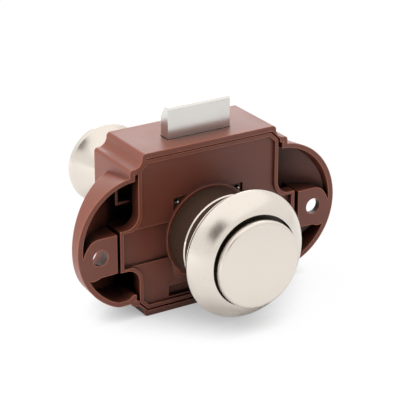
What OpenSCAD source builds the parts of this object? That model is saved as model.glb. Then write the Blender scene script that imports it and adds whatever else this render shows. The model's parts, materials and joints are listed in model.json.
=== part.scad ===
// Push button cabinet lock: case with two ears, push button with rosette,
// dead bolt driven by a slanted slot, rear pull knob.
// Frame: the origin lies on the button axis in the plane of the door.
// X runs along the case, Y points into the cabinet, Z is the way the bolt throws. Sizes in mm.

/* [Case] */
// Distance between the two screw holes
hole_spacing = 64; // [62:0.5:66]
// Diameter of the screw holes
hole_d = 4.3; // [3.5:0.1:5]
// Length of the case over both ears
case_length = 76.8; // [75:0.2:80]
// Height of the case
case_height = 44.5; // [43:0.5:48]
// Height of the middle of the case above the button axis
case_mid = 2.95; // [2.5:0.05:3.4]
// Depth of the case
case_depth = 18.4; // [17.8:0.2:21]
// Width of the crown of the case
crown_w = 39.6; // [38:0.2:41]
// Width of the case over the shoulders
shoulder_w = 46.8; // [46:0.2:48.4]
// Height of the crown above the shoulders
crown_h = 3.6; // [3.2:0.1:4]
// Radius of the ears
ear_r = 17; // [16.5:0.1:17.6]
// Depth of the ears where they leave the case
ear_depth = 11.3; // [10:0.2:12]
// Depth of the ears at their tips
ear_tip = 3; // [2.6:0.1:3.6]
// Wall thickness of the case
wall = 1.5; // [1.3:0.1:1.7]

/* [Front plate] */
// Width of the front plate
plate_w = 41.6; // [40.8:0.2:42.4]
// Width of the front plate over its tabs
tab_w = 52.4; // [51:0.2:53]
// Height of the tabs
tab_h = 11.2; // [10:0.2:12]
// Thickness of the front plate
plate_t = 3.3; // [3.2:0.1:3.6]
// Width of the raised edge of the front plate
rim_w = 1; // [0.8:0.1:1.4]

/* [Button and rosette] */
// Outer radius of the guide sleeve
sleeve_r = 12; // [11.8:0.1:12.4]
// Wall thickness of the guide sleeve
sleeve_wall = 1.6; // [1.3:0.1:1.8]
// Radius of the rosette
rosette_r = 17; // [16.5:0.1:18]
// Distance of the rosette front from the door plane
rosette_reach = 21.1; // [20:0.1:26]
// Radius of the push button
button_r = 11.5; // [11:0.05:11.7]
// Thickness of the push button
button_t = 2; // [1.6:0.1:2.4]
// Height of the push button in front of the rosette when locked
button_stand = 2.3; // [2.1:0.05:3]

/* [Drive] */
// Radius of the plunger
plunger_r = 7; // [6.8:0.1:7.1]
// Way of the button from locked to open
travel = 8.5; // [8:0.1:8.8]
// Way the button can be pressed beyond locked
overtravel = 1; // [0.8:0.1:1.2]
// Radius of the button spring, to the middle of the wire
spring_r = 8.5; // [8.3:0.1:8.8]
// Radius of the spring wire
wire_r = 0.6; // [0.5:0.05:0.65]

/* [Bolt] */
// Width of the bolt
bolt_w = 18.4; // [16:0.2:20]
// Thickness of the bolt
bolt_t = 3.6; // [3.2:0.1:4]
// Height of the bolt above the case when locked
bolt_throw = 8.3; // [7.8:0.1:8.4]
// Height of the slanted face on the bolt
bevel_h = 3; // [2:0.1:4]

/* [Rear knob] */
// Radius of the rear knob
knob_r = 11.7; // [10.5:0.1:13]
// Radius of the neck of the rear knob
neck_r = 6.2; // [5.8:0.1:7]
// Distance of the knob rim from the door plane when locked
knob_reach = 56.6; // [54:0.2:64]
// Radius of the rear stem
stem_r = 5.2; // [4.6:0.1:5.6]

/* [Hidden] */
$fn = 64;

brown = [0.44, 0.24, 0.18];
dark = [0.16, 0.12, 0.1];
nickel = [0.85, 0.83, 0.8];
steel = [0.7, 0.7, 0.69];

eps = 0.01;
press_gap = 0.03;
run_gap = 0.08;
slide_gap = 0.2;
cut = 1;

case_top = case_mid + case_height / 2;
case_bottom = case_mid - case_height / 2;
shoulder_h = case_height - 2 * crown_h;
cove_r = 2.5;
crown_round = 1.1;
shoulder_round = 0.9;
ear_x = case_length / 2 - ear_r;
ear_floor = 1.6;
rear_wall = 1.8;
chamber_back = case_depth - rear_wall;
hole_x = hole_spacing / 2;
lug_r = 5.2;
lug_in = (hole_x - tab_w / 2) * 0.82;
lug_t = 1.8;
access_r = 4.1;
ear_slope = (ear_depth - ear_tip) / (case_length / 2 - shoulder_w / 2);
shelf_in = shoulder_w / 2 - wall - 2.4;
rib_x = shoulder_w / 2 + 0.9;
rib_z = 10.4;
rib_t = 0.7;
rib_l = 4;
rib_rise = 5.3;
rib_front = ear_depth - rib_rise;

plate_gap = 0.35;
plate_front = 0.3;
plate_back = plate_front + plate_t;
field_y = plate_front + 0.8;
strip_y = field_y + 0.7;
strip_h = tab_h - 2 * rim_w + 0.6;
plate_h = case_height - 2 * wall - 2 * plate_gap;
plate_chamfer = 2.3;
tab_fillet = 3.6;
window = [20.8, 22.4];
window_y = field_y + 0.6;
prong_hole = 0.7;
slot_w = 23.8;
slot_h = 3.1;
slot_z = case_mid - plate_h / 2 + 3;

sleeve_front = -rosette_reach + 1.15;
sleeve_bore = sleeve_r - sleeve_wall;
sleeve_floor = 1.4;
lip_r = sleeve_r + 0.9;
lip_front = plate_front - 0.2;
clip_wire = 0.7;
clip_groove = 0.25;
clip_y = plate_back - sleeve_floor / 2;
clip_seat_y = clip_y - clip_wire - 0.05;
prong_r = 0.4;
prong_at = lip_r + prong_r + 0.05;
prong_turn = 47.4;

rosette_open = button_r + 0.65;
rosette_t = 1.2;
rosette_depth = 8.7;
face_depth = 4.8;
lip_depth = 0.9;
hub_r = rosette_r - 2.45;

core_r = sleeve_bore - run_gap;
core_front = -rosette_reach - button_stand + button_t;
core_l = 10.6;
core_back = core_front + core_l;
spigot_r = 4.5;
spigot_l = 5.1;
screw_r = 1.5;
screw_head = 3.2;
cap_spigot_r = 6;
cap_spigot_l = 1.5;

bolt_y = plate_back + 1.9;
bolt_mid = bolt_y + bolt_t / 2;
bolt_top = case_top + bolt_throw;
pin_r = 1.2;
pin_z = 4.2;
cam_half = pin_r + 0.15;
slider_top = case_top - wall - overtravel - 1.2;
slider_bar = plunger_r + travel + 0.6;
lap_h = (slider_top - slider_bar) * 5 / 6;
leg_in = plunger_r + 0.4;
leg_out = leg_in + 5.6;
leg_drop = 10.2;
leg_bottom = pin_z - leg_drop;
rail_t = 1.5;
rail_in = 2;
guide_low = slider_bar - 2;
guide_h = slider_top - guide_low;
rivet_edge = 0.95;
rivet_r = lap_h / 2 - rivet_edge;
rivet_x = bolt_w * 0.28;
rivet_head = rivet_r + 0.7;
rivet_head_t = 0.3;

swing_per_mm = 22 * 180 / PI / 1000;
lever_l = 8.6;
lever_pivot = plate_back + lever_l + 1.4;
lever_tip = lever_pivot - lever_l;
lever_t = 1.2;
pivot_in = 6;
head_gap = 0.05;
relief_front = 4;
relief_back = 2;
lever_top = -plunger_r - 0.8;
lever_hub = 2.2;
lever_half = 1;
pivot_r = 1;
boss_r = 2.6;
tip_r = 0.65;
track_half = 0.95;
flat_z = -plunger_r + 0.8;
track_z = flat_z + 1;

plunger_back = case_depth + travel + 1.1;
bush_r = plunger_r + 1.6;
bush_flange = bush_r + 1.9;
bush_flange_t = 1.6;

stud_r = 2;
stud_in = 8;
rim_band = 1.2;
rim_step = 0.35;
flare_l = 11.4;
neck_front = knob_reach - rim_band - flare_l;
knob_wall = 1.2;
neck_l = 4.5;
dome_h = 1.7;
cap_in = 0.8;

// Spring: turns, rings in each turn, sides of the wire
spring_turns = 5;
spring_rings = 8;
spring_sides = 6;
spring_front = core_back + wire_r;
spring_back = plate_back - sleeve_floor - wire_r;
spring_pitch = (spring_back - spring_front) / spring_turns;
echo(least_spring_gap = spring_pitch - 2 * wire_r);

// Lays an (x, z) outline between two depths
module slab(y0, y1) {
    translate([0, y1, 0]) rotate([90, 0, 0]) linear_extrude(y1 - y0) children();
}

// Lays a (y, z) outline across the middle of the part
module across(w) {
    rotate([90, 0, 90]) linear_extrude(w, center = true) children();
}

// Turns an (r, y) profile about the button axis
module turned() {
    rotate([-90, 0, 0]) rotate_extrude() children();
}

// Round bar on the button axis
module rod(r, y0, y1) {
    translate([0, y0, 0]) rotate([-90, 0, 0]) cylinder(r = r, h = y1 - y0);
}

// Round bar with a bore
module tube(r, bore, y0, y1) {
    difference() {
        rod(r, y0, y1);
        rod(bore, y0 - cut, y1 + cut);
    }
}

// Both sides of the middle plane
module both_sides() {
    children();
    mirror([1, 0, 0]) children();
}

// All four quarters of an outline
module four_ways() {
    for (a = [0, 1], b = [0, 1]) mirror([a, 0]) mirror([0, b]) children();
}

// Slot outline with round ends between two points
module slot_2d(a, b, r) {
    translate(a) circle(r);
    translate(b) circle(r);
    translate(a) rotate(atan2(b[1] - a[1], b[0] - a[0])) translate([0, -r]) square([norm(b - a), 2 * r]);
}

// Crown, shoulders and the coves between them, set in by an even amount
module case_outline(inset) {
    corner = [crown_w / 2 - inset, shoulder_h / 2 - inset];
    translate([0, case_mid]) {
        square([crown_w - 2 * inset, case_height - 2 * inset], center = true);
        square([shoulder_w - 2 * inset, shoulder_h - 2 * inset], center = true);
        four_ways() difference() {
            translate(corner - [eps, eps]) square(cove_r + inset + eps);
            translate(corner + [cove_r + inset, cove_r + inset]) circle(cove_r + inset);
        }
    }
}

// What the rounding takes off one corner of an outline
module corner_bit(x, z, r) {
    translate([x, z]) difference() {
        translate([-r, -r]) square(r + eps);
        translate([-r, -r]) circle(r);
    }
}

// Outside of the case, with its crown and shoulder corners rounded
module case_outside() {
    difference() {
        case_outline(0);
        translate([0, case_mid]) four_ways() {
            corner_bit(crown_w / 2, case_height / 2, crown_round);
            corner_bit(shoulder_w / 2, shoulder_h / 2, shoulder_round);
        }
    }
}

// Both ears, set in by an even amount
module ears(inset) {
    both_sides() translate([ear_x, case_mid]) circle(ear_r - inset);
}

// Front plate with bevelled corners and filleted tabs, grown by an even amount
module plate_outline(grow) {
    half = [plate_w / 2 + grow, plate_h / 2 + grow];
    bevel = plate_chamfer + 0.586 * grow;
    fillet = tab_fillet - grow;
    tab_half = tab_h / 2 + grow;
    translate([0, case_mid]) polygon([
        [half[0], half[1] - bevel], [half[0] - bevel, half[1]],
        [bevel - half[0], half[1]], [-half[0], half[1] - bevel],
        [-half[0], bevel - half[1]], [bevel - half[0], -half[1]],
        [half[0] - bevel, -half[1]], [half[0], bevel - half[1]]
    ]);
    square([tab_w + 2 * grow, 2 * tab_half], center = true);
    four_ways() difference() {
        translate([half[0] - eps, tab_half - eps]) square(fillet + eps);
        translate([half[0] + fillet, tab_half + fillet]) circle(fillet);
    }
}

// Room in front of the slanted back of both ears, set forward by an even amount
module ear_wedge(forward) {
    tip_x = case_length / 2 + cut;
    both_sides() translate([0, 0, case_bottom - cut]) linear_extrude(case_height + 2 * cut) polygon([
        [0, -cut], [tip_x, -cut], [tip_x, ear_tip - ear_slope * cut - forward],
        [0, ear_depth + ear_slope * shoulder_w / 2 - forward]
    ]);
}

// Screw lug about one hole, cut straight on the side of the tab
module lug_outline() {
    translate([hole_x, 0]) intersection() {
        union() {
            circle(lug_r);
            translate([-lug_r, -lug_r]) square([lug_r, 2 * lug_r]);
        }
        translate([-lug_in, -lug_r]) square([lug_in + lug_r, 2 * lug_r]);
    }
}

// Upright guides for the bolt slider, behind it and beside it
module slide_rails() {
    rail_low = case_bottom + wall - eps;
    rail_h = case_top - wall - rail_low - 1;
    both_sides() {
        translate([leg_out - rail_in, bolt_y + bolt_t + slide_gap, rail_low])
            cube([rail_in + slide_gap + rail_t, chamber_back - bolt_y - bolt_t - slide_gap + eps, rail_h]);
        translate([leg_out + slide_gap, plate_back, rail_low])
            cube([rail_t, chamber_back - plate_back + eps, rail_h]);
    }
}

// Shelf that carries a tab of the front plate
module tab_shelf() {
    slab(plate_back, ear_depth) translate([shelf_in, rim_w - tab_h / 2])
        square([tab_w / 2 - shelf_in - rim_w, tab_h - 2 * rim_w]);
}

// Angled rib on the floor of the upper ear pocket
module pocket_rib() {
    slab(rib_front, ear_depth) {
        translate([rib_x - rib_t, rib_z]) square([rib_t, rib_l]);
        translate([shelf_in, rib_z]) square([rib_x - shelf_in, rib_t]);
    }
}

module housing() {
    color(brown) difference() {
        union() {
            difference() {
                union() {
                    slab(0, case_depth) case_outside();
                    intersection() {
                        slab(0, case_depth) ears(0);
                        ear_wedge(0);
                    }
                }
                slab(-cut, chamber_back) case_outline(wall);
                intersection() {
                    slab(-cut, chamber_back) ears(wall);
                    ear_wedge(ear_floor);
                }
                slab(-cut, plate_back) plate_outline(plate_gap);
            }
            intersection() {
                both_sides() {
                    slab(0, ear_depth) intersection() {
                        lug_outline();
                        ears(wall / 2);
                    }
                    tab_shelf();
                    pocket_rib();
                }
                ear_wedge(0);
            }
            slide_rails();
            translate([0, lever_pivot, case_bottom + wall - eps])
                cylinder(r = boss_r, h = lever_top - lever_t - 0.1 - case_bottom - wall + eps);
        }
        both_sides() {
            translate([hole_x, 0, 0]) rod(hole_d / 2, -cut, ear_depth);
            translate([hole_x, 0, 0]) rod(access_r, lug_t, ear_depth + cut);
        }
        translate([-bolt_w / 2 - slide_gap, bolt_y - slide_gap, case_top - wall - cut])
            cube([bolt_w + 2 * slide_gap, bolt_t + 2 * slide_gap, wall + 2 * cut]);
        rod(bush_r + press_gap, chamber_back - cut, case_depth + cut);
        translate([0, lever_pivot, lever_top - lever_t - pivot_in])
            cylinder(r = pivot_r + press_gap, h = pivot_in);
    }
}

module front_plate() {
    color(brown) {
        difference() {
            union() {
                slab(plate_front, plate_back) plate_outline(0);
                both_sides() for (z = [guide_low, leg_bottom - travel - rim_w])
                    translate([leg_out - rail_in, plate_back - eps, z])
                        cube([rail_t, bolt_y - slide_gap - plate_back + eps, guide_h]);
            }
            slab(plate_front - cut, field_y) plate_outline(-rim_w);
            slab(plate_front - cut, strip_y) square([tab_w - 2 * rim_w, strip_h], center = true);
            rod(sleeve_r + press_gap, plate_front - cut, plate_back + cut);
            rod(sleeve_r + 2 * clip_wire + 2 * slide_gap, clip_seat_y, plate_back + cut);
            slab(plate_front - cut, window_y) difference() {
                square(window, center = true);
                circle(lip_r - eps);
            }
            at_prongs() rod(prong_hole, plate_front - cut, plate_back + cut);
            slab(plate_front - cut, plate_back - cut) translate([-slot_w / 2, slot_z - slot_h / 2])
                square([slot_w, slot_h]);
        }
        difference() {
            tube(lip_r, sleeve_r + press_gap, lip_front, strip_y + eps);
            at_prongs() rod(prong_hole, window_y, plate_back);
        }
    }
}

// The four places where the clip shows through the front plate
module at_prongs() {
    for (turn = [prong_turn, 180 - prong_turn, 180 + prong_turn, -prong_turn])
        translate([prong_at * cos(turn), 0, prong_at * sin(turn)]) children();
}

module guide_sleeve() {
    color(dark) difference() {
        rod(sleeve_r, sleeve_front, plate_back);
        rod(sleeve_bore, sleeve_front - cut, plate_back - sleeve_floor);
        rod(plunger_r + run_gap, 0, plate_back + cut);
        turned() translate([sleeve_r - clip_groove + clip_wire, clip_y]) circle(clip_wire + press_gap);
    }
}

module sleeve_clip() {
    color(steel) {
        turned() translate([sleeve_r - clip_groove + clip_wire, clip_y]) circle(clip_wire, $fn = 24);
        at_prongs() {
            rod(prong_r, field_y, clip_y, $fn = 24);
            translate([0, field_y, 0]) sphere(prong_r, $fn = 24);
        }
    }
}

module rosette_shell() {
    y0 = -rosette_reach;
    r0 = rosette_open;
    face = [for (t = [0:0.125:1])
        [rosette_r - (rosette_r - r0) * pow(t, 1.25), y0 + face_depth * pow(1 - t, 1.35)]];
    inner = [for (p = [7:-1:1]) face[p] + [-rosette_t * 0.85, rosette_t * 0.75]];
    // Radius and depth of the skirt corners, as shares of the rosette's own
    skirt = [[0.947, 1], [0.947, 0.971], [0.924, 0.966], [0.924, 0.707], [0.979, 0.684], [0.979, 0.653],
        [0.962, 0.632], [0.997, 0.598]];
    lining = [[0.882, 0.615], [0.865, 0.71]];
    color(nickel) turned() polygon(concat(
        [for (k = skirt) [rosette_r * k[0], y0 + rosette_depth * k[1]]],
        face,
        [[r0, y0 + lip_depth]],
        [for (p = inner) [max(p[0], r0 + rosette_t / 4), p[1]]],
        [for (k = lining) [rosette_r * k[0], y0 + rosette_depth * k[1]]],
        [[hub_r + press_gap, y0 + rosette_depth]]
    ));
}

module rosette_hub() {
    y0 = -rosette_reach;
    color(dark) tube(hub_r, sleeve_r + press_gap, y0 + rosette_depth * 0.63, y0 + rosette_depth * 0.975);
}

module rear_bush() {
    color(dark) difference() {
        union() {
            rod(bush_r, chamber_back, case_depth + eps);
            rod(bush_flange, case_depth, case_depth + bush_flange_t);
        }
        rod(plunger_r + run_gap, chamber_back - cut, case_depth + bush_flange_t + cut);
    }
}

// Ring of wire corners at one step along the helix
function wire_ring(i) =
    let (turn = i / spring_rings, a = 360 * turn, y = spring_front + spring_pitch * turn)
    [for (k = [0:spring_sides - 1])
        let (b = 360 * k / spring_sides, r = spring_r + wire_r * cos(b))
        [r * cos(a), y + wire_r * sin(b), r * sin(a)]];

module button_spring() {
    last = spring_turns * spring_rings;
    corners = [for (i = [0:last]) each wire_ring(i)];
    sides = [for (i = [0:last - 1], k = [0:spring_sides - 1])
        let (n = (k + 1) % spring_sides, a = i * spring_sides, b = a + spring_sides)
        each [[a + k, a + n, b + n], [a + k, b + n, b + k]]];
    start = [for (k = [spring_sides - 1:-1:0]) k];
    end = [for (k = [0:spring_sides - 1]) last * spring_sides + k];
    color(steel) polyhedron(corners, concat(sides, [start, end]));
}

module follower_pivot_pin() {
    color(steel) translate([0, lever_pivot, 0]) {
        translate([0, 0, lever_top - lever_t - pivot_in])
            cylinder(r = pivot_r, h = lever_t + pivot_in + head_gap);
        translate([0, 0, lever_top + head_gap]) cylinder(r = pivot_r + 0.7, h = 0.45);
    }
}

module plunger() {
    y_low = bolt_mid - overtravel;
    y_high = bolt_mid + travel;
    tip_x = lever_l * sin(swing_per_mm * travel);
    tip_y = lever_tip + travel + lever_l * (1 - cos(swing_per_mm * travel));
    color(dark) difference() {
        union() {
            rod(plunger_r, core_back, plunger_back);
            rod(spigot_r, core_back - spigot_l, core_back + eps);
        }
        across(4 * plunger_r) slot_2d([y_low, pin_z + overtravel], [y_high, pin_z - travel], cam_half);
        translate([-plunger_r, lever_tip - relief_front, -2 * plunger_r])
            cube([2 * plunger_r, tip_y - lever_tip + relief_front + relief_back, 2 * plunger_r + flat_z]);
        translate([0, 0, flat_z - cut]) linear_extrude(track_z - flat_z + cut) {
            for (side = [-1, 1])
                slot_2d([-side * lever_l * sin(swing_per_mm * overtravel), lever_tip - overtravel],
                    [side * tip_x, tip_y], track_half);
            slot_2d([-tip_x, tip_y], [tip_x, tip_y], track_half);
        }
        rod(stud_r + press_gap, plunger_back - stud_in, plunger_back + cut);
        rod(screw_r + press_gap, core_back - spigot_l - cut, core_back + 3);
    }
}

module button_core() {
    color(dark) difference() {
        rod(core_r, core_front, core_back);
        rod(cap_spigot_r + press_gap, core_front - cut, core_front + cap_spigot_l + 0.1);
        rod(screw_head + 0.2, core_front, core_front + 3.9);
        rod(screw_r + press_gap, core_front, core_back);
        rod(spigot_r + press_gap, core_back - spigot_l, core_back + cut);
    }
}

module push_button() {
    front = core_front - button_t;
    edge = 0.35;
    color(nickel) turned() polygon([
        [0, front], [button_r - edge, front], [button_r, front + edge],
        [button_r, core_front - edge], [button_r - edge, core_front],
        [cap_spigot_r, core_front], [cap_spigot_r, core_front + cap_spigot_l], [0, core_front + cap_spigot_l]
    ]);
}

module button_screw() {
    head_back = core_front + 3.9;
    color(steel) difference() {
        union() {
            rod(screw_head, head_back - 2, head_back);
            rod(screw_r, head_back - eps, core_back + 2.5);
        }
        slab(head_back - 3, head_back - 1) {
            square([3.6, 0.8], center = true);
            square([0.8, 3.6], center = true);
        }
    }
}

module rear_stem() {
    color(dark) tube(stem_r, stud_r + press_gap, plunger_back, neck_front);
}

module rear_stud() {
    color(steel) rod(stud_r, plunger_back - stud_in + 0.2, neck_front + neck_l - 0.3);
}

module rear_knob() {
    steps = [0:0.1:1];
    flare = [for (t = steps) [neck_r + (knob_r - rim_step - neck_r) * pow(t, 1.7), neck_front + flare_l * t]];
    hollow = [for (i = [10:-1:4]) [flare[i][0] - knob_wall, max(flare[i][1] + 0.35, neck_front + neck_l)]];
    color(nickel) difference() {
        turned() polygon(concat(
            [[stud_r + press_gap, neck_front]], flare,
            [[knob_r, knob_reach - rim_band], [knob_r, knob_reach], [knob_r - knob_wall, knob_reach],
                [knob_r - knob_wall, knob_reach - cap_in - press_gap]], hollow,
            [[stud_r + press_gap, neck_front + neck_l]]
        ));
        translate([0, neck_front + 2, -2 * neck_r]) cylinder(r = pivot_r + press_gap, h = 2 * neck_r);
    }
}

module knob_cap() {
    r = knob_r - knob_wall - press_gap;
    dome = [for (t = [0:0.125:1]) [r * cos(90 * t), knob_reach + dome_h * sin(90 * t)]];
    color(nickel) turned() polygon(concat([[0, knob_reach - cap_in], [r, knob_reach - cap_in]], dome));
}

module knob_grub_screw() {
    color(steel) translate([0, neck_front + 2, -neck_r + 0.4]) difference() {
        cylinder(r = pivot_r, h = neck_r - stud_r - 0.4 - press_gap);
        translate([0, 0, -cut]) cylinder(r = 0.5, h = cut + 1.2);
    }
}

module latch_bolt() {
    back = bolt_y + bolt_t;
    tail_back = bolt_y + bolt_t / 2;
    lap_low = slider_top - lap_h;
    color(nickel) difference() {
        across(bolt_w) polygon([
            [bolt_y, lap_low], [bolt_y, bolt_top - 0.6], [bolt_y + 0.6, bolt_top],
            [back - bevel_h * 0.65, bolt_top], [back, bolt_top - bevel_h],
            [back, slider_top], [tail_back, slider_top], [tail_back, lap_low]
        ]);
        both_sides() translate([rivet_x, 0, slider_top - lap_h / 2]) rod(rivet_r + press_gap, bolt_y - cut, back);
    }
}

module bolt_slider() {
    color(dark) difference() {
        translate([-leg_out, bolt_y, leg_bottom]) cube([2 * leg_out, bolt_t, slider_top - leg_bottom]);
        translate([-leg_in, bolt_y - cut, leg_bottom - cut])
            cube([2 * leg_in, bolt_t + 2 * cut, slider_bar - leg_bottom + cut]);
        translate([-bolt_w / 2 - press_gap, bolt_y - cut, slider_top - lap_h])
            cube([bolt_w + 2 * press_gap, bolt_t / 2 + cut, lap_h + cut]);
        both_sides() translate([rivet_x, 0, slider_top - lap_h / 2])
            rod(rivet_r + press_gap, bolt_y, bolt_y + bolt_t + cut);
        translate([0, bolt_mid, pin_z]) rotate([0, 90, 0])
            cylinder(r = pin_r + press_gap, h = 2 * leg_out - 1, center = true);
    }
}

module bolt_rivets() {
    back = bolt_y + bolt_t;
    color(steel) both_sides() translate([rivet_x, 0, slider_top - lap_h / 2]) {
        rod(rivet_r, bolt_y - rivet_head_t, back + rivet_head_t);
        rod(rivet_head, bolt_y - rivet_head_t, bolt_y);
        rod(rivet_head, back, back + rivet_head_t);
    }
}

module cross_pin() {
    color(steel) translate([0, bolt_mid, pin_z]) rotate([0, 90, 0])
        cylinder(r = pin_r, h = 2 * leg_out - 1.2, center = true);
}

module heart_follower() {
    color(steel) translate([0, 0, lever_top - lever_t]) difference() {
        linear_extrude(lever_t) {
            translate([0, lever_pivot]) circle(lever_hub);
            slot_2d([0, lever_tip], [0, lever_pivot], lever_half);
        }
        translate([0, lever_pivot, -cut]) cylinder(r = pivot_r + run_gap, h = lever_t + 2 * cut);
        translate([0, lever_tip, -cut]) cylinder(r = tip_r + press_gap, h = lever_t + 2 * cut);
    }
}

module follower_tip() {
    color(steel) translate([0, lever_tip, lever_top - lever_t])
        cylinder(r = tip_r, h = track_z - 0.2 - lever_top + lever_t, $fn = 32);
}

housing();
front_plate();
guide_sleeve();
sleeve_clip();
rosette_shell();
rosette_hub();
rear_bush();
button_spring();
follower_pivot_pin();
plunger();
button_core();
push_button();
button_screw();
rear_stem();
rear_stud();
rear_knob();
knob_cap();
knob_grub_screw();
latch_bolt();
bolt_slider();
bolt_rivets();
cross_pin();
heart_follower();
follower_tip();
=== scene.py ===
# %% [markdown]
# # Push button cabinet lock
# The imported CAD part is the fixed frame, and this lesson gives it its looks: moulded brown plastic with
# rounded edges that carry a painted highlight, satin nickel pieces with fine turned profiles, a white studio
# and the camera of the photo. Lengths are in metres, as Blender counts, and MM turns millimetres into metres.

import json

import bmesh
import bpy
import numpy as np
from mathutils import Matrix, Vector


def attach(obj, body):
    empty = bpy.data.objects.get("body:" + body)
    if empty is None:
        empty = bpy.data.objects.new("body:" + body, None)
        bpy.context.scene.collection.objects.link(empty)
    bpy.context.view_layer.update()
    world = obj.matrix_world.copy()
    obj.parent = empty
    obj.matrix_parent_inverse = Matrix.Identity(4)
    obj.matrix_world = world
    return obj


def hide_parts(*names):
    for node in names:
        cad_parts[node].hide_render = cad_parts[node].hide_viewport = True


MM = 0.001
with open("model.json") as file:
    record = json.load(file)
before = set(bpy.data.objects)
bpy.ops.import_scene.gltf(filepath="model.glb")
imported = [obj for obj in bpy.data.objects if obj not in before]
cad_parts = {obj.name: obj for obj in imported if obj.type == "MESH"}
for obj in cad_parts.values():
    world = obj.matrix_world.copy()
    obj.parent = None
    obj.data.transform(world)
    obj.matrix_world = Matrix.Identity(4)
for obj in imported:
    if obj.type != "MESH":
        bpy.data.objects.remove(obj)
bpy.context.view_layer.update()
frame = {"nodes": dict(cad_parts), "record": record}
nodes = frame["nodes"]
print("nodes loaded:", len(nodes))

# %% [markdown]
# ## Turned surfaces
# The rosette, its hub and ring, the button and the rear knob are bodies of revolution. A lathe of Blender's
# own could spin a profile, but a grid of points keeps the profile readable as numbers: one parameter runs
# along the profile, the other round the axis.

# %% Profile helpers
def grid_faces(rows, cols):
    """Quads of a rows by cols grid of points whose columns close into a ring."""
    row, col = np.meshgrid(np.arange(rows - 1), np.arange(cols), indexing="ij")
    after = (col + 1) % cols
    ring = [row * cols + col, row * cols + after, (row + 1) * cols + after, (row + 1) * cols + col]
    return np.stack(ring, axis=-1).reshape(-1, 4)


def rounded(profile, radii, steps=6):
    """Each inner corner of an (r, y) polyline becomes the curve (1-t)^2 a + 2 t (1-t) b + t^2 c,
    where b is the corner, and a and c lie one radius before and after it."""
    points = np.asarray(profile, float)
    radius = np.asarray(radii, float)[:, None]
    corner = points[1:-1]
    before = points[:-2] - corner
    after = points[2:] - corner
    start = corner + before / np.linalg.norm(before, axis=1, keepdims=True) * radius
    end = corner + after / np.linalg.norm(after, axis=1, keepdims=True) * radius
    t = np.linspace(0, 1, steps)[None, :, None]
    arcs = (1 - t) ** 2 * start[:, None] + 2 * t * (1 - t) * corner[:, None] + t ** 2 * end[:, None]
    return np.concatenate([points[:1], arcs.reshape(-1, 2), points[-1:]])


def turned(profile_mm, segments=160):
    """Points (r cos a, y, r sin a) of an (r, y) profile turned about the button axis."""
    profile = np.asarray(profile_mm, float) * MM
    a = np.linspace(0, 2 * np.pi, segments, endpoint=False)
    x = profile[:, 0, None] * np.cos(a)
    z = profile[:, 0, None] * np.sin(a)
    y = np.repeat(profile[:, 1, None], segments, axis=1)
    return np.stack([x, y, z], axis=-1).reshape(-1, 3), grid_faces(len(profile), segments).tolist()

# %% [markdown]
# ## Pieces on the frame
# A new surface rides on one of the four bodies and stands in for its CAD node. Poles and seams are merged,
# and edges sharper than a small angle, in degrees, stay crisp.

# %% Surface pieces
SEAM_GAP = 1e-7
LOOSE_GAP = 2e-6
TURNED_CRISP = 40
JOINED_CRISP = 30

slot_of = {entry["node"]: entry["material_slot"] for entry in frame["record"]["subparts"]}
body_of = {node: body for body, members in frame["record"]["behaviour"]["bodies"].items() for node in members}
print("bodies:", sorted(set(body_of.values())))


def dress(mesh, material, node, crisp_angle):
    """Put a mesh into the scene with its material, on the body and in place of its CAD node."""
    mesh.materials.clear()
    mesh.materials.append(material)
    mesh.shade_smooth()
    mesh.set_sharp_from_angle(angle=np.radians(crisp_angle))
    piece = bpy.data.objects.new(mesh.name, mesh)
    bpy.context.scene.collection.objects.link(piece)
    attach(piece, body_of[node])
    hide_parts(node)
    print(mesh.name, "on", body_of[node], "with", len(mesh.polygons), "faces")
    return piece


def surface_piece(name, points, faces, material, node):
    """A surface from its points and faces, merged at its poles and seams and turned outwards."""
    mesh = bpy.data.meshes.new(name)
    mesh.from_pydata(points.tolist(), [], faces)
    work = bmesh.new()
    work.from_mesh(mesh)
    bmesh.ops.remove_doubles(work, verts=work.verts, dist=SEAM_GAP)
    bmesh.ops.recalc_face_normals(work, faces=work.faces)
    work.to_mesh(mesh)
    work.free()
    return dress(mesh, material, node, TURNED_CRISP)


def join_points(mesh):
    """Merge points that lie together, and drop the faces that are then left without area."""
    work = bmesh.new()
    work.from_mesh(mesh)
    bmesh.ops.remove_doubles(work, verts=work.verts, dist=LOOSE_GAP)
    bmesh.ops.dissolve_degenerate(work, dist=SEAM_GAP, edges=work.edges)
    work.to_mesh(mesh)
    work.free()


def joined_copy(node, material, crisp_angle=JOINED_CRISP):
    """A copy of a CAD node with its loose triangles joined and their stored normals dropped, so that its
    round walls shade smoothly."""
    mesh = nodes[node].data.copy()
    mesh.name = node + "_joined"
    mesh.attributes.remove(mesh.attributes["custom_normal"])
    join_points(mesh)
    return dress(mesh, material, node, crisp_angle)


def points_of(mesh):
    """The points of a mesh as rows of x, y and z in millimetres."""
    places = np.empty(3 * len(mesh.vertices), dtype=np.float32)
    mesh.vertices.foreach_get("co", places)
    return places.reshape(-1, 3) / MM


def set_points(mesh, points):
    """Put rows of x, y and z in millimetres back into a mesh."""
    mesh.vertices.foreach_set("co", (points * MM).astype(np.float32).ravel())
    mesh.update()

# %% [markdown]
# ## Shared shader groups
# Four effects are used by more than one finish. *Breakup* lets roughness wander a little, *grain height*
# is the fine skin of a mould or of a satin brush, *cavity shade* finds places that nearby walls shut off,
# where the plastics get painted shade, and *moulded edge* finds outer edges, for a painted highlight, and
# rounds them for the light. Each is a group with named sockets.

# %% Group helper
def new_group(name, inputs, outputs):
    """An empty shader group with float inputs (name, default) and outputs (name, socket type)."""
    group = bpy.data.node_groups.new(name, "ShaderNodeTree")
    for label, default in inputs:
        socket = group.interface.new_socket(label, in_out="INPUT", socket_type="NodeSocketFloat")
        socket.default_value = default
    for label, kind in outputs:
        group.interface.new_socket(label, in_out="OUTPUT", socket_type=kind)
    return group, group.nodes.new("NodeGroupInput"), group.nodes.new("NodeGroupOutput")

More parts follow.
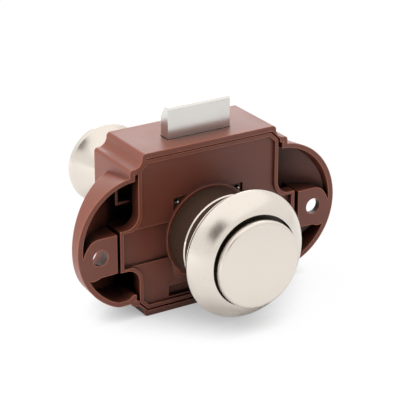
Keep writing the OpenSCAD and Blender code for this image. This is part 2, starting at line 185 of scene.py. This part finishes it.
# %% Breakup
def make_breakup():
    """Noise in object space, mapped from its middle band to the range Low to High."""
    group, inside, outside = new_group(
        "Breakup", [("Scale", 60), ("Low", 0.3), ("High", 0.4)], [("Value", "NodeSocketFloat")])
    coords = group.nodes.new("ShaderNodeTexCoord")
    noise = group.nodes.new("ShaderNodeTexNoise")
    noise.inputs["Detail"].default_value = 3
    span = group.nodes.new("ShaderNodeMapRange")
    span.inputs["From Min"].default_value = 0.3
    span.inputs["From Max"].default_value = 0.7
    group.links.new(coords.outputs["Object"], noise.inputs["Vector"])
    group.links.new(inside.outputs["Scale"], noise.inputs["Scale"])
    group.links.new(noise.outputs["Fac"], span.inputs["Value"])
    group.links.new(inside.outputs["Low"], span.inputs["To Min"])
    group.links.new(inside.outputs["High"], span.inputs["To Max"])
    group.links.new(span.outputs["Result"], outside.inputs["Value"])
    return group


breakup = make_breakup()
print("group:", breakup.name)

# %% Grain height
def make_grain():
    """Fine noise in object space, with X multiplied by Stretch first, so that a low value draws it out."""
    group, inside, outside = new_group(
        "Grain height", [("Scale", 4000), ("Stretch", 1)], [("Height", "NodeSocketFloat")])
    coords = group.nodes.new("ShaderNodeTexCoord")
    axes = group.nodes.new("ShaderNodeCombineXYZ")
    axes.inputs["Y"].default_value = 1
    axes.inputs["Z"].default_value = 1
    stretch = group.nodes.new("ShaderNodeVectorMath")
    stretch.operation = "MULTIPLY"
    noise = group.nodes.new("ShaderNodeTexNoise")
    noise.inputs["Detail"].default_value = 2
    group.links.new(inside.outputs["Stretch"], axes.inputs["X"])
    group.links.new(coords.outputs["Object"], stretch.inputs[0])
    group.links.new(axes.outputs["Vector"], stretch.inputs[1])
    group.links.new(stretch.outputs["Vector"], noise.inputs["Vector"])
    group.links.new(inside.outputs["Scale"], noise.inputs["Scale"])
    group.links.new(noise.outputs["Fac"], outside.inputs["Height"])
    return group


grain = make_grain()
print("group:", grain.name)

# %% Cavity
# Plastics blend a nearly black colour in by this mask, as painted shade in their pockets.
def make_cavity():
    """1 in the open, falling to 0 where walls within Reach shut most of the sky out."""
    group, inside, outside = new_group("Cavity shade", [("Reach", 9 * MM)], [("Open", "NodeSocketFloat")])
    sky = group.nodes.new("ShaderNodeAmbientOcclusion")
    sky.samples = 8
    span = group.nodes.new("ShaderNodeMapRange")
    span.inputs["From Min"].default_value = 0.28
    span.inputs["From Max"].default_value = 0.76
    group.links.new(inside.outputs["Reach"], sky.inputs["Distance"])
    group.links.new(sky.outputs["AO"], span.inputs["Value"])
    group.links.new(span.outputs["Result"], outside.inputs["Open"])
    return group


cavity = make_cavity()
print("group:", cavity.name)

# %% Moulded edge
def make_moulded_edge():
    """Mask is 1 along outer edges: from a point just inside, another wall is then near. Normal is the
    surface normal rounded over Radius, so that an edge catches the light."""
    group, inside, outside = new_group(
        "Moulded edge", [("Radius", 0.3 * MM)], [("Mask", "NodeSocketFloat"), ("Normal", "NodeSocketVector")])
    near = group.nodes.new("ShaderNodeAmbientOcclusion")
    near.inside = True
    near.only_local = True
    near.samples = 8
    span = group.nodes.new("ShaderNodeMapRange")
    span.inputs["From Min"].default_value = 0.92
    span.inputs["From Max"].default_value = 0.6
    soft = group.nodes.new("ShaderNodeBevel")
    soft.samples = 6
    group.links.new(inside.outputs["Radius"], near.inputs["Distance"])
    group.links.new(inside.outputs["Radius"], soft.inputs["Radius"])
    group.links.new(near.outputs["AO"], span.inputs["Value"])
    group.links.new(span.outputs["Result"], outside.inputs["Mask"])
    group.links.new(soft.outputs["Normal"], outside.inputs["Normal"])
    return group


moulded_edge = make_moulded_edge()
print("group:", moulded_edge.name)

# %% [markdown]
# ## Finishes
# Case and plate are one glossy brown plastic, and sleeve, hub and stem are a nearly black one. Button,
# rosette and knob are satin nickel, and the bolt is brushed along its length. The shader of each finish
# stays in its own material, and the groups feed it.

# %% Finish helpers
MOTTLE_SCALE = 90
GRAIN_DEPTH = 0.02 * MM


def place(tree, group, **values):
    """A group in a material's tree with its own values."""
    node = tree.nodes.new("ShaderNodeGroup")
    node.node_tree = group
    for label, value in values.items():
        node.inputs[label].default_value = value
    return node


def new_finish(name, rough, grain_scale, grain_strength, stretch=1.0):
    """A material whose roughness wanders between two values, with a fine grain in its bump."""
    material = bpy.data.materials.new(name)
    material.use_nodes = True
    tree = material.node_tree
    shader = tree.nodes["Principled BSDF"]
    mottle = place(tree, breakup, Scale=MOTTLE_SCALE, Low=rough[0], High=rough[1])
    skin = place(tree, grain, Scale=grain_scale, Stretch=stretch)
    bump = tree.nodes.new("ShaderNodeBump")
    bump.inputs["Strength"].default_value = grain_strength
    bump.inputs["Distance"].default_value = GRAIN_DEPTH
    tree.links.new(mottle.outputs["Value"], shader.inputs["Roughness"])
    tree.links.new(skin.outputs["Height"], bump.inputs["Height"])
    tree.links.new(bump.outputs["Normal"], shader.inputs["Normal"])
    return material, tree, shader, bump


def blend(tree, factor, low, high):
    """A colour that goes from low to high with the factor. Each is a colour or another blend's output."""
    node = tree.nodes.new("ShaderNodeMix")
    node.data_type = "RGBA"
    for label, value in (("A", low), ("B", high)):
        socket = next(s for s in node.inputs if s.name == label and s.type == "RGBA")
        if isinstance(value, tuple):
            socket.default_value = (*value, 1)
        else:
            tree.links.new(value, socket)
    tree.links.new(factor, node.inputs["Factor"])
    return next(s for s in node.outputs if s.type == "RGBA")

# %% Plastics
def plastic(name, color, edge_highlight_color, pocket_shade_color, rough, edge_radius):
    """Moulded plastic with a painted highlight, a paler colour along its outer edges, and painted shade,
    nearly black deep in its pockets.
    """
    material, tree, shader, bump = new_finish(name, rough, grain_scale=3500, grain_strength=0.1)
    edge = place(tree, moulded_edge, Radius=edge_radius)
    painted_shade = place(tree, cavity, Reach=11 * MM)
    # Painted highlight: the edge mask blends a paler colour into the base colour along outer edges.
    edge_lit_color = blend(tree, edge.outputs["Mask"], color, edge_highlight_color)
    # Painted shade: a nearly black colour where the cavity mask finds the surface shut in.
    shaded = blend(tree, painted_shade.outputs["Open"], pocket_shade_color, edge_lit_color)
    shader.inputs["Specular IOR Level"].default_value = 0.4
    tree.links.new(shaded, shader.inputs["Base Color"])
    tree.links.new(edge.outputs["Normal"], bump.inputs["Normal"])
    return material


# The paler edge colours are painted highlights, and the nearly black deep colours are painted shade.
brown = plastic(
    "brown_plastic", color=(0.157, 0.042, 0.0245), edge_highlight_color=(0.43, 0.135, 0.073),
    pocket_shade_color=(0.006, 0.002, 0.0015), rough=(0.36, 0.44), edge_radius=0.3 * MM)
dark = plastic(
    "dark_plastic", color=(0.038, 0.021, 0.0135), edge_highlight_color=(0.07, 0.04, 0.026),
    pocket_shade_color=(0.03, 0.02, 0.01), rough=(0.36, 0.46), edge_radius=0.25 * MM)
print("plastics:", brown.name, dark.name)

# %% Metals
BUFFED_ROUGHNESS = 0.06


def metal(name, color, rough, grain_scale, grain_strength, stretch=1.0):
    """Plated or bare metal in one colour, with a satin skin."""
    material, _, shader, _ = new_finish(name, rough, grain_scale, grain_strength, stretch)
    shader.inputs["Base Color"].default_value = (*color, 1)
    shader.inputs["Metallic"].default_value = 1
    return material


def buff(material):
    """Where the mesh carries the attribute buffed, roughness falls to that of a buffed edge."""
    tree = material.node_tree
    shader = tree.nodes["Principled BSDF"]
    satin = shader.inputs["Roughness"].links[0].from_socket
    buffed = tree.nodes.new("ShaderNodeAttribute")
    buffed.attribute_name = "buffed"
    mix = tree.nodes.new("ShaderNodeMix")
    mix.inputs["B"].default_value = BUFFED_ROUGHNESS
    tree.links.new(buffed.outputs["Fac"], mix.inputs["Factor"])
    tree.links.new(satin, mix.inputs["A"])
    tree.links.new(mix.outputs["Result"], shader.inputs["Roughness"])


nickel = metal(
    "satin_nickel", color=(0.62, 0.572, 0.52), rough=(0.25, 0.28), grain_scale=5000, grain_strength=0.008)
buff(nickel)
bolt_metal = metal(
    "bolt_steel", color=(0.58, 0.57, 0.55), rough=(0.23, 0.3), grain_scale=1600, grain_strength=0.03,
    stretch=0.05)
bright = metal(
    "spring_steel", color=(0.36, 0.35, 0.34), rough=(0.24, 0.32), grain_scale=5000, grain_strength=0.04)
by_slot = {
    "brown_plastic": brown, "dark_plastic": dark, "satin_nickel": nickel,
    "bolt_steel": bolt_metal, "spring_steel": bright,
}
for node, slot in slot_of.items():
    nodes[node].data.materials.clear()
    nodes[node].data.materials.append(by_slot[slot])
print("metals:", nickel.name, bolt_metal.name, bright.name)

# %% [markdown]
# ## Case, plate and the smaller pieces
# The CAD solids already have the main shapes of the mouldings, so they are kept. A joined copy lets their
# round walls shade smoothly, while the plastic's own shader rounds the edges. The next cells correct a few
# places in these copies. From here to the spring, sizes are in millimetres, unless MM stands beside them.

# %% Moulded and plain pieces
KEPT_SOLIDS = (
    "housing", "front_plate", "guide_sleeve", "sleeve_clip", "rear_bush", "rear_stem", "knob_cap",
    "button_core",
)
kept = {node: joined_copy(node, by_slot[slot_of[node]]) for node in KEPT_SOLIDS}

# %% [markdown]
# ## Ears of the case
# A moulding leaves its tool only if its walls lean. The ears of the case draw in towards their slanted
# backs, which hides the far one's upper wall behind its rim. They also hang lower than the middle of the
# case and have a thinner wall above and below. In the copy of the case, the points of the ear walls
# therefore slide up or down. What joins a wall from inside follows it, less and less towards the screw
# hole, and where a wall leaves the case below, it slides only as far as the corner there leaves room.

# %% Ears of the case
EAR_X = 21.4
EAR_R = 17
EAR_WALL = 1.5
EAR_ROOT = 23.3
EAR_MID = 1.9
OUTER_STRETCH = 1.044
INNER_STRETCH = 1.068
HOLE_REACH = 13.2
ROOT_SHARE = 0.42
ROOT_SPAN = 4
WALL_SLACK = 0.1
CASE_MID = 2.95
DRAFT = 0.009


def lean_ears(mesh):
    """Ear wall points lie between two circles about (EAR_X, CASE_MID) and outside the case. They go to
    z = EAR_MID + (z - CASE_MID) (stretch - DRAFT y). Points inside a wall or by its lower root go a share of
    that way."""
    points = points_of(mesh)
    x, y, z = points.T
    reach = np.hypot(np.abs(x) - EAR_X, z - CASE_MID)
    share = np.clip((reach - HOLE_REACH) / (EAR_R - EAR_WALL - HOLE_REACH), 0, 1)
    share[(np.abs(x) < EAR_ROOT) | (reach > EAR_R + WALL_SLACK)] = 0
    near_root = np.clip(ROOT_SHARE + (1 - ROOT_SHARE) * (np.abs(x) - EAR_ROOT) / ROOT_SPAN, 0, 1)
    share *= np.where(z < CASE_MID, near_root, 1)
    stretch = np.where(reach < EAR_R - EAR_WALL / 2, INNER_STRETCH, OUTER_STRETCH)
    leaned = EAR_MID + (z - CASE_MID) * (stretch - DRAFT * np.maximum(y, 0))
    points[:, 2] += share * (leaned - z)
    set_points(mesh, points)
    print("ear points moved:", int((share > 0).sum()))


lean_ears(kept["housing"].data)

# %% [markdown]
# ## Lower corners of the plate
# The wire clip shows through two small windows above the sleeve. Below the sleeve the plate is closed. In
# the copies, the floor of each lower window therefore comes up to the field of the plate, the hole in that
# floor runs together to a point, and the prong behind it ends inside the plate.

# %% Lower corners of the plate
FIELD_Y = 1.1
WINDOW_Y = 1.7
WINDOW_TOP = -6.5
PRONG_X = 9.036
PRONG_Z = -9.827
HOLE_R = 0.7
PRONG_END = 2.2
POINT_SLACK = 0.02


def close_lower_windows(mesh):
    """Points on a lower window's floor get y = FIELD_Y, and those round its hole move onto its axis."""
    points = points_of(mesh)
    x, y, z = points.T
    on_floor = (np.abs(y - WINDOW_Y) < POINT_SLACK) & (z < WINDOW_TOP)
    by_hole = np.hypot(np.abs(x) - PRONG_X, z - PRONG_Z) < HOLE_R + POINT_SLACK
    points[on_floor, 1] = FIELD_Y
    points[by_hole, 0] = np.sign(x[by_hole]) * PRONG_X
    points[by_hole, 2] = PRONG_Z
    set_points(mesh, points)
    join_points(mesh)
    print("floor points:", int(on_floor.sum()), "hole points:", int(by_hole.sum()))


def end_lower_prongs(mesh):
    """Points of the prongs below the sleeve get y = PRONG_END where they reach further forward."""
    points = points_of(mesh)
    ahead = (points[:, 1] < PRONG_END) & (points[:, 2] < WINDOW_TOP)
    points[ahead, 1] = PRONG_END
    set_points(mesh, points)
    join_points(mesh)
    print("prong points drawn back:", int(ahead.sum()))


close_lower_windows(kept["front_plate"].data)
end_lower_prongs(kept["sleeve_clip"].data)

# %% [markdown]
# ## Latch bolt
# The bolt is a plain bar with a slanted nose. Its edges are broken by tumbling, which is a real bevel here
# because the bolt stands against the sky.

# %% Latch bolt
BOLT_CRISP = 20
FLAT_ANGLE = 0.2
BROKEN_EDGE = 0.3 * MM

bolt = joined_copy("latch_bolt", bolt_metal, crisp_angle=BOLT_CRISP)
work = bmesh.new()
work.from_mesh(bolt.data)
bmesh.ops.dissolve_limit(work, angle_limit=np.radians(FLAT_ANGLE), verts=work.verts, edges=work.edges)
work.to_mesh(bolt.data)
work.free()
broken_edge = bolt.modifiers.new("broken edge", "BEVEL")
broken_edge.limit_method = "ANGLE"
broken_edge.angle_limit = np.radians(BOLT_CRISP)
broken_edge.width = BROKEN_EDGE
broken_edge.segments = 3
broken_edge.harden_normals = True
print("bolt faces before its bevel:", len(bolt.data.polygons))

# %% [markdown]
# ## Rosette
# The rosette is the ring that is clamped on the outside of the door. Behind its rim lie a groove and a thin
# bead, and its face swells from the rim to the opening. The swell is a power curve, flat at the opening and
# steep at the rim, which one round arc would not give. What lies behind the rim is buffed, so its points
# carry an attribute that the nickel reads.

# %% Rosette
ROSETTE_R = 17
ROSETTE_FRONT = -21.1
FACE_WIDTH = 4.85
FACE_DEPTH = 4.8
FACE_WALL = (-1.02, 0.9)
FACE_STEPS = 40
INNER_STEPS = slice(34, 4, -1)
INSIDE_R = 12.4
FLANGE_BACK = -14.25
FLANGE_BORE = 12.8
BEAD_R = 16
BEAD_ROUND = 0.04
RIM_ROUND = 0.12
BUFFED_FRONT = -15.95


def rosette_profile():
    """Back of the flange, bead and groove, then the face r = ROSETTE_R - FACE_WIDTH t^1.25,
    y = ROSETTE_FRONT + FACE_DEPTH (1-t)^1.35, and back along the inside, one wall away."""
    t = np.linspace(0, 1, FACE_STEPS)
    swell = [ROSETTE_R - FACE_WIDTH * t ** 1.25, ROSETTE_FRONT + FACE_DEPTH * (1 - t) ** 1.35]
    face = np.stack(swell, axis=1)
    inside = face[INNER_STEPS] + FACE_WALL
    inside[:, 0] = np.maximum(inside[:, 0], INSIDE_R)
    bead = [(BEAD_R, FLANGE_BACK), (BEAD_R, -14.4), (15.82, -14.75)]
    groove = [(15.5, -14.8), (16.9, -15.85)]
    flange = rounded([(FLANGE_BORE, FLANGE_BACK), *bead, *groove, face[0]], [BEAD_ROUND] * 4 + [RIM_ROUND])
    lip = [(ROSETTE_R - FACE_WIDTH, -20.2)]
    lining = [(15, -15.75), (14.2, -15.2), (FLANGE_BORE, -15.1), (FLANGE_BORE, -14.3)]
    return np.concatenate([flange, face[1:], lip, inside, lining])


def mark(piece, label, front, rear):
    """An attribute that is 1 at the points whose y lies between front and rear."""
    y = points_of(piece.data)[:, 1]
    inside = ((y > front) & (y < rear)).astype(np.float32)
    piece.data.attributes.new(label, "FLOAT", "POINT").data.foreach_set("value", inside)
    print(label, "points:", int(inside.sum()))


rosette = surface_piece("rosette_turned", *turned(rosette_profile()), nickel, "rosette_shell")
mark(rosette, "buffed", BUFFED_FRONT, 0)

# %% [markdown]
# ## Hub and ring
# The rosette sits on a dark hub that fits round the sleeve, and a thin bright ring closes the hub at its
# back. The hub is a plain tube. The ring leans forward like a chamfer, because an upright one would mirror
# the brown plate instead of the room. Each is a closed loop of corners turned about the axis.

# %% Hub and ring
BORE_R = 12.06
HUB_R = 12.75
HUB_FRONT = -15.05
HUB_BACK = -8.9
HUB_ROUND = 0.05
RING_FRONT_R = 12.96
RING_R = 13.15
RING_FRONT = -8.83
RING_CONE_END = -8.4
RING_BACK = -8.3
RING_ROUNDS = (0.03, 0.05, 0.05, 0.03)


def hub_profile():
    """The four corners of the tube's wall as a closed (r, y) loop."""
    front = (BORE_R, HUB_FRONT)
    return rounded([front, (HUB_R, HUB_FRONT), (HUB_R, HUB_BACK), (BORE_R, HUB_BACK), front], [HUB_ROUND] * 3)


def ring_profile():
    """A closed (r, y) loop whose outside grows from front to back."""
    front = (BORE_R, RING_FRONT)
    outside = [(RING_FRONT_R, RING_FRONT), (RING_R, RING_CONE_END), (RING_R, RING_BACK)]
    return rounded([front, *outside, (BORE_R, RING_BACK), front], RING_ROUNDS)


surface_piece("hub_turned", *turned(hub_profile()), dark, "rosette_hub")
ring = surface_piece("ring_turned", *turned(ring_profile()), nickel, "rosette_shell")
mark(ring, "buffed", BUFFED_FRONT, 0)

# %% [markdown]
# ## Button
# The button is a thick flat disc. Its edge is a small quarter round, which draws the pale ring of the photo.
# The stem has some play in its sleeve, so the disc hangs a little low in the opening.

# %% Button
BUTTON_R = 11.6
BUTTON_FRONT = -23.5
BUTTON_BACK = -21.4
SPIGOT_R = 6
SPIGOT_BACK = -19.9
BUTTON_ROUNDS = (0.85, 0.4, 0.1, 0.1)
BUTTON_SAG = 0.35 * MM


def button_profile():
    """Half outline of the disc from its middle over the rounded edges to the spigot at its back."""
    disc = [(0, BUTTON_FRONT), (BUTTON_R, BUTTON_FRONT), (BUTTON_R, BUTTON_BACK)]
    spigot = [(SPIGOT_R, BUTTON_BACK), (SPIGOT_R, SPIGOT_BACK), (0, SPIGOT_BACK)]
    return rounded(disc + spigot, BUTTON_ROUNDS)


button_points, button_faces = turned(button_profile())
surface_piece("button_turned", button_points - (0, 0, BUTTON_SAG), button_faces, nickel, "push_button")

# %% [markdown]
# ## Rear knob
# The knob inside the cabinet flares like a trumpet and ends in a thin rim. The flare is a power curve, so its
# wall leaves the neck straight and opens towards the rim.

# %% Rear knob
NECK_R = 6.2
NECK_FRONT = 44
FLARE_RISE = 5.45
FLARE_LENGTH = 11.4
FLARE_STEPS = 32
RIM_R = 11.7
RIM_FRONT = 55.5
RIM_BACK = 56.6
KNOB_ROUNDS = (0.05, 0.5, 0.2)
CAP_R = 10.5
CAP_SEAT = 55.45
STUD_R = 2.03


def knob_profile():
    """Neck and flare r = NECK_R + FLARE_RISE t^2.8, y = NECK_FRONT + FLARE_LENGTH t, the rim, and the seat
    of the cap."""
    t = np.linspace(0, 1, FLARE_STEPS)
    flare = np.stack([NECK_R + FLARE_RISE * t ** 2.8, NECK_FRONT + FLARE_LENGTH * t], axis=1)
    corners = [flare[-1], (RIM_R, RIM_FRONT), (RIM_R, RIM_BACK), (CAP_R, RIM_BACK), (CAP_R, 55.7)]
    rim = rounded(corners, KNOB_ROUNDS)
    seat = [(10.3, CAP_SEAT), (STUD_R, CAP_SEAT)]
    return np.concatenate([[(STUD_R, NECK_FRONT)], flare[:-1], rim, seat])


surface_piece("knob_turned", *turned(knob_profile()), nickel, "rear_knob")

# %% [markdown]
# ## Button spring
# The spring between the sleeve floor and the button core is a round wire wound as a helix. A circle carried
# along the helix gives a tube, and two flat ends close it.

# %% Button spring
def wound_wire(radius, wire, y0, y1, turns, per_turn=48, sides=14):
    """A circle of radius wire at angle b, carried along the helix (R cos a, y, R sin a): each point lies at
    radius R + wire cos b and height y + wire sin b."""
    a = np.linspace(0, 2 * np.pi * turns, int(per_turn * turns) + 1)
    b = np.linspace(0, 2 * np.pi, sides, endpoint=False)
    y = np.linspace(y0 + wire, y1 - wire, len(a))
    ring = radius + wire * np.cos(b)[None, :]
    x = ring * np.cos(a)[:, None]
    z = ring * np.sin(a)[:, None]
    height = y[:, None] + wire * np.sin(b)[None, :]
    points = np.stack([x, height, z], axis=-1).reshape(-1, 3) * MM
    first = np.arange(sides)[::-1].tolist()
    last = np.arange(len(points) - sides, len(points)).tolist()
    return points, grid_faces(len(a), sides).tolist() + [first, last]


spring = wound_wire(radius=8.5, wire=0.6, y0=-9.7, y1=2.15, turns=5)
surface_piece("spring_wound", *spring, bright, "button_spring")

# %% [markdown]
# ## Camera
# The camera stands where the photo was taken: its angles and distance were solved from points of the lock
# that are easy to see in the photo. It looks a little past the middle of the lock, so that the frame is the
# photo's.

# %% Camera
AZIMUTH = np.radians(-31.81)
ELEVATION = np.radians(23.87)
DISTANCE = 450.7 * MM
FOCAL_PX = 1754.8
PHOTO_PX = 400
ORIGIN_PX = (210.47, 231.40)
SENSOR_MM = 36

back = Vector((np.sin(AZIMUTH) * np.cos(ELEVATION), -np.cos(AZIMUTH) * np.cos(ELEVATION), np.sin(ELEVATION)))
right = Vector((np.cos(AZIMUTH), np.sin(AZIMUTH), 0))
up = back.cross(right)
aim = -back
aim += right * ((PHOTO_PX / 2 - ORIGIN_PX[0]) / FOCAL_PX)
aim += up * ((ORIGIN_PX[1] - PHOTO_PX / 2) / FOCAL_PX)
camera = bpy.data.objects.new("camera", bpy.data.cameras.new("camera"))
bpy.context.scene.collection.objects.link(camera)
camera.location = back * DISTANCE
camera.rotation_euler = aim.to_track_quat("-Z", "Y").to_euler()
camera.data.sensor_width = SENSOR_MM
camera.data.lens = FOCAL_PX / PHOTO_PX * SENSOR_MM
camera.data.clip_start = 0.01
bpy.context.scene.camera = camera
print("lens in mm:", round(camera.data.lens, 1))

# %% [markdown]
# ## Studio
# The lock stands on white paper under a large soft light. The paper is made whiter for the camera and for
# reflections than for the rest of the light, keeps its real shadow, and adds a painted contact shadow where
# the lock stands. A dim card by the camera is seen by reflections alone: it makes the soft dark patches on
# the rosette and the rear knob.

# %% Studio helpers
WARM_WHITE = (1, 0.985, 0.965)
FLOOR_Z = -19.32 * MM


def stage_plane(name, center, normal, size, material):
    """A square of the given size about its center, facing along the normal."""
    n = Vector(normal).normalized()
    side = n.orthogonal().normalized() * (size / 2)
    other = n.cross(side)
    middle = Vector(center)
    corners = [middle - side - other, middle + side - other, middle + side + other, middle - side + other]
    mesh = bpy.data.meshes.new(name)
    mesh.from_pydata([tuple(c) for c in corners], [], [(0, 1, 2, 3)])
    mesh.materials.append(material)
    plane = bpy.data.objects.new(name, mesh)
    bpy.context.scene.collection.objects.link(plane)
    return plane


def area_light(name, spot, size, power):
    """A soft square light aimed at the case."""
    data = bpy.data.lights.new(name, "AREA")
    data.size = size
    data.energy = power
    lamp = bpy.data.objects.new(name, data)
    lamp.location = spot
    lamp.rotation_euler = (-Vector(spot)).to_track_quat("-Z", "Y").to_euler()
    bpy.context.scene.collection.objects.link(lamp)
    return lamp

# %% Paper floor
CAMERA_SHARE = 0.95
GLOSS_SHARE = 0.08
CONTACT_REACH = 30 * MM

paper = bpy.data.materials.new("paper")
paper.use_nodes = True
sheet = paper.node_tree
lit_paper = sheet.nodes["Principled BSDF"]
lit_paper.inputs["Base Color"].default_value = (0.93, 0.93, 0.93, 1)
lit_paper.inputs["Roughness"].default_value = 0.9
ray = sheet.nodes.new("ShaderNodeLightPath")
gloss_share = sheet.nodes.new("ShaderNodeMath")
gloss_share.operation = "MULTIPLY"
gloss_share.inputs[1].default_value = GLOSS_SHARE
share = sheet.nodes.new("ShaderNodeMath")
share.operation = "MULTIPLY_ADD"
share.inputs[1].default_value = CAMERA_SHARE
# Painted contact shadow: the white glow fades where ambient occlusion finds the lock near, on top of the real
# shadow.
contact = sheet.nodes.new("ShaderNodeAmbientOcclusion")
contact.inputs["Distance"].default_value = CONTACT_REACH
fade = sheet.nodes.new("ShaderNodeMapRange")
fade.inputs["From Min"].default_value = 0.1
fade.inputs["From Max"].default_value = 0.6
fade.inputs["To Min"].default_value = 0.34
white = sheet.nodes.new("ShaderNodeEmission")
mixed = sheet.nodes.new("ShaderNodeMixShader")
sheet.links.new(ray.outputs["Is Glossy Ray"], gloss_share.inputs[0])
sheet.links.new(ray.outputs["Is Camera Ray"], share.inputs[0])
sheet.links.new(gloss_share.outputs["Value"], share.inputs[2])
sheet.links.new(share.outputs["Value"], mixed.inputs["Fac"])
sheet.links.new(contact.outputs["AO"], fade.inputs["Value"])
sheet.links.new(fade.outputs["Result"], white.inputs["Strength"])
sheet.links.new(lit_paper.outputs["BSDF"], mixed.inputs[1])
sheet.links.new(white.outputs["Emission"], mixed.inputs[2])
sheet.links.new(mixed.outputs["Shader"], sheet.nodes["Material Output"].inputs["Surface"])
stage_plane("floor", center=(0, 0, FLOOR_Z), normal=(0, 0, 1), size=1.4, material=paper)
print("floor at", round(FLOOR_Z / MM, 2), "mm")

# %% Cards for the reflections
def reflected_card(name, center, normal, size, color, strength):
    """A plain glowing card that only reflections see."""
    glow = bpy.data.materials.new(name)
    glow.use_nodes = True
    shader = glow.node_tree.nodes["Principled BSDF"]
    shader.inputs["Base Color"].default_value = (0, 0, 0, 1)
    shader.inputs["Emission Color"].default_value = (*color, 1)
    shader.inputs["Emission Strength"].default_value = strength
    card = stage_plane(name, center, normal, size, glow)
    card.visible_camera = False
    card.visible_diffuse = False
    card.visible_shadow = False
    print(name, "glows at", strength)


reflected_card(
    "dim_card", center=back * 0.5 + up * 0.055, normal=-back, size=0.24, color=(1, 0.75, 0.5), strength=0.04)
reflected_card(
    "sky_card", center=(0.1, -0.1, 0.75), normal=(0, 0, -1), size=1.7, color=WARM_WHITE, strength=1.45)

# %% Lights
top_light = area_light("top", spot=(0.0, 0.1, 0.7), size=0.5, power=3.4)
top_light.visible_glossy = False
area_light("back", spot=(0.35, 0.6, 0.4), size=0.5, power=1.6)
side_light = area_light("left", spot=(-0.6, 0.0, 0.3), size=0.4, power=3.6)
side_light.visible_glossy = False

# %% World
world = bpy.data.worlds.new("studio")
bpy.context.scene.world = world
world.use_nodes = True
sky = world.node_tree
sky.nodes.clear()


def backdrop(color, strength):
    """One even background."""
    node = sky.nodes.new("ShaderNodeBackground")
    node.inputs["Color"].default_value = (*color, 1)
    node.inputs["Strength"].default_value = strength
    return node.outputs["Background"]


path = sky.nodes.new("ShaderNodeLightPath")
by_gloss = sky.nodes.new("ShaderNodeMixShader")
by_camera = sky.nodes.new("ShaderNodeMixShader")
out = sky.nodes.new("ShaderNodeOutputWorld")
sky.links.new(path.outputs["Is Glossy Ray"], by_gloss.inputs["Fac"])
sky.links.new(backdrop(WARM_WHITE, 0.46), by_gloss.inputs[1])
sky.links.new(backdrop(WARM_WHITE, 1.2), by_gloss.inputs[2])
sky.links.new(path.outputs["Is Camera Ray"], by_camera.inputs["Fac"])
sky.links.new(by_gloss.outputs["Shader"], by_camera.inputs[1])
sky.links.new(backdrop((1, 1, 1), 1), by_camera.inputs[2])
sky.links.new(by_camera.outputs["Shader"], out.inputs["Surface"])
bpy.context.scene.view_settings.view_transform = "Standard"
print("view transform:", bpy.context.scene.view_settings.view_transform)
